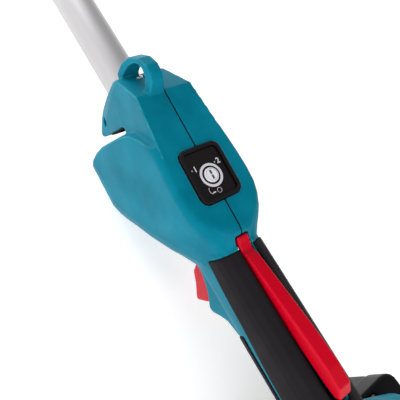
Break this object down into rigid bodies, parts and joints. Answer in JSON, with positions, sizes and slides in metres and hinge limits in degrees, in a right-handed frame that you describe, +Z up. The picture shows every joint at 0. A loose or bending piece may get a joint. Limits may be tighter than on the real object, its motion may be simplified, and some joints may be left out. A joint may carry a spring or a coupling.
{
  "type": "telescoping pole saw",
  "caption": "Cordless telescoping pole saw: twin battery base, teal rear handle with control panel, sliding aluminium pole and a chain saw head.",
  "frame": {"origin": "centre of the bounding box on the ground plane", "axes": "+X along the pole towards the guide bar, +Y to the operator's left, +Z up"},
  "size_m": [1.967, 0.158, 0.1442],
  "materials": {
    "teal_plastic": "fine moulded texture",
    "black_plastic": "fine moulded texture",
    "gloss_black": "polished",
    "white_plastic": "satin",
    "green_lens": "clear lens",
    "circuit_board": "solder mask",
    "red_plastic": "satin moulded",
    "soft_rubber": "matt overmould",
    "foam_rubber": "closed cell foam",
    "anodised_aluminium": "silver anodised",
    "bright_steel": "zinc plated",
    "dark_steel": "blackened",
    "copper_winding": "varnished copper",
    "brass_contact": "plain",
    "tank_plastic": "translucent"
  },
  "bodies": {
    "handle": {"housing_left": "teal_plastic", "housing_right": "teal_plastic", "housing_screw_1": "dark_steel", "housing_screw_2": "dark_steel", "housing_screw_3": "dark_steel", "housing_screw_4": "dark_steel", "panel_frame": "black_plastic", "panel_plate": "gloss_black", "speed_lamp_1": "green_lens", "speed_lamp_2": "green_lens", "panel_board": "circuit_board", "lock_off_pin": "bright_steel", "trigger_pin": "bright_steel", "main_switch": "black_plastic", "controller": "anodised_aluminium", "lock_off_spring": "bright_steel", "trigger_spring": "bright_steel", "grip_pad_left": "soft_rubber", "grip_pad_right": "soft_rubber", "grip_pad_finger": "soft_rubber", "battery_rail_plate": "black_plastic", "battery_base_cover": "teal_plastic", "terminal_block_left": "brass_contact", "terminal_block_right": "brass_contact", "outer_pole": "anodised_aluminium", "front_grip_sleeve": "foam_rubber", "clamp_collar": "black_plastic", "clamp_bolt": "bright_steel"},
    "lock_lever": {"lock_off_lever": "red_plastic"},
    "trigger": {"switch_trigger": "red_plastic"},
    "button": {"power_button": "white_plastic"},
    "battery_left": {"battery_left": "black_plastic"},
    "battery_right": {"battery_right": "black_plastic"},
    "latch_left": {"battery_latch_left": "red_plastic"},
    "latch_right": {"battery_latch_right": "red_plastic"},
    "clamp_lever": {"clamp_lever": "red_plastic"},
    "head": {"inner_pole": "anodised_aluminium", "inner_pole_plug": "black_plastic", "head_left": "teal_plastic", "head_right": "black_plastic", "head_screw_1": "dark_steel", "head_screw_2": "dark_steel", "head_screw_3": "dark_steel", "motor_stator": "copper_winding", "motor_bearing_inner": "bright_steel", "motor_bearing_outer": "bright_steel", "motor_end_plate": "anodised_aluminium", "guide_bar": "bright_steel", "saw_chain": "dark_steel", "sprocket_cover": "black_plastic", "bar_stud": "bright_steel", "bar_nut": "bright_steel", "oil_tank": "tank_plastic", "branch_hook": "dark_steel", "hook_screw_1": "bright_steel", "hook_screw_2": "bright_steel"},
    "rotor": {"motor_rotor": "dark_steel", "drive_sprocket": "dark_steel"},
    "nose_sprocket": {"nose_sprocket": "dark_steel"},
    "oil_cap": {"oil_cap": "black_plastic"}
  },
  "joints": [
    {"name": "pole_extend", "type": "slide", "parent": "handle", "child": "head", "axis": [1, 0, 0], "range_m": [0, 0.76]},
    {"name": "lock_off_lever", "type": "hinge", "parent": "handle", "child": "lock_lever", "pos_m": [-0.7315, 0, 0.1125], "axis": [0, -1, 0], "range_deg": [0, 6], "stiffness_Nm_per_rad": 3, "springref_deg": -6.88},
    {"name": "switch_trigger", "type": "hinge", "parent": "handle", "child": "trigger", "pos_m": [-0.7275, 0, 0.067], "axis": [0, 1, 0], "range_deg": [0, 9], "stiffness_Nm_per_rad": 3, "springref_deg": -6.88},
    {"name": "power_button", "type": "slide", "parent": "handle", "child": "button", "axis": [0.0896, 0, -0.996], "range_m": [0, 0.0008], "stiffness_N_per_m": 1500, "springref_m": -0.0008},
    {"name": "battery_left_slide", "type": "slide", "parent": "handle", "child": "battery_left", "axis": [-1, 0, 0], "range_m": [0, 0.13]},
    {"name": "battery_right_slide", "type": "slide", "parent": "handle", "child": "battery_right", "axis": [-1, 0, 0], "range_m": [0, 0.13]},
    {"name": "battery_latch_left", "type": "slide", "parent": "battery_left", "child": "latch_left", "axis": [0, 0, -1], "range_m": [0, 0.003], "stiffness_N_per_m": 900, "springref_m": -0.002},
    {"name": "battery_latch_right", "type": "slide", "parent": "battery_right", "child": "latch_right", "axis": [0, 0, -1], "range_m": [0, 0.003], "stiffness_N_per_m": 900, "springref_m": -0.002},
    {"name": "clamp_lever", "type": "hinge", "parent": "handle", "child": "clamp_lever", "pos_m": [0.2905, 0, 0.058], "axis": [0, -1, 0], "range_deg": [0, 100]},
    {"name": "sprocket_spin", "type": "hinge", "parent": "head", "child": "rotor", "pos_m": [0.6805, -0.027, 0.074], "axis": [0, 1, 0], "continuous": true},
    {"name": "nose_sprocket_spin", "type": "hinge", "parent": "head", "child": "nose_sprocket", "pos_m": [0.9645, -0.027, 0.074], "axis": [0, 1, 0], "continuous": true},
    {"name": "oil_cap_turn", "type": "hinge", "parent": "head", "child": "oil_cap", "pos_m": [0.6585, 0.06, 0.0325], "axis": [0, 1, 0], "range_deg": [0, 90]}
  ],
  "couplings": [
    {"joint": "nose_sprocket_spin", "follows": "sprocket_spin", "ratio": 0.75}
  ]
}
